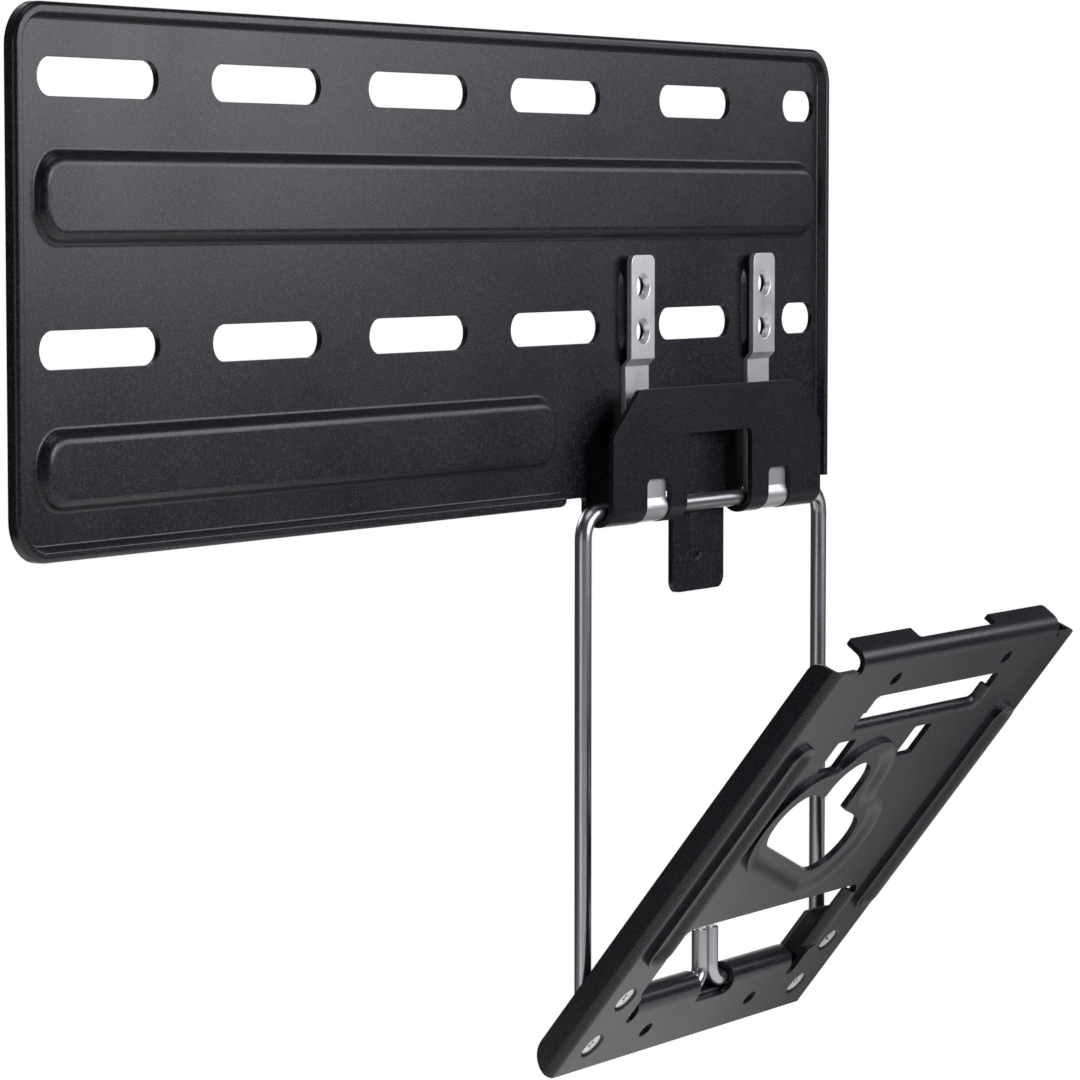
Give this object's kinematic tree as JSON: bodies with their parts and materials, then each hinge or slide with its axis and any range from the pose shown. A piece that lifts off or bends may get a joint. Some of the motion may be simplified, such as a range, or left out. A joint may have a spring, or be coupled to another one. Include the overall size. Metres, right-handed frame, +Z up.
{
  "type": "fixed tv wall bracket",
  "caption": "Pressed steel wall plate with screw slots, a hook under its lower edge that holds a wire bail, and a tilted plate at the bail's foot that carries a flat screen",
  "frame": {"origin": "middle of the back of the wall plate, on the wall", "axes": "X right along the wall, Y into the wall, Z up"},
  "size_m": [0.4848, 0.1212, 0.364],
  "materials": {
    "powder_coated_steel": "fine satin powder coat",
    "zinc_plated_steel": "satin zinc",
    "bright_steel_wire": "polished",
    "moulded_plastic": "fine moulded grain"
  },
  "bodies": {
    "wall": {"wall_plate": "powder_coated_steel", "left_hook_strap": "zinc_plated_steel", "right_hook_strap": "zinc_plated_steel"},
    "bail": {"wire_bail": "bright_steel_wire"},
    "screen": {"screen_plate": "powder_coated_steel", "left_bearing_block": "moulded_plastic", "right_bearing_block": "moulded_plastic", "left_upper_screw": "zinc_plated_steel", "left_lower_screw": "zinc_plated_steel", "right_upper_screw": "zinc_plated_steel", "right_lower_screw": "zinc_plated_steel"}
  },
  "joints": [
    {"name": "bail_swing", "type": "hinge", "parent": "wall", "child": "bail", "pos_m": [0.1465, -0.00705, -0.0842], "axis": [-1, 0, 0], "range_deg": [0, 70]},
    {"name": "screen_tilt", "type": "hinge", "parent": "bail", "child": "screen", "pos_m": [0.1465, -0.00705, -0.2605], "axis": [-1, 0, 0], "range_deg": [0, 32]}
  ]
}
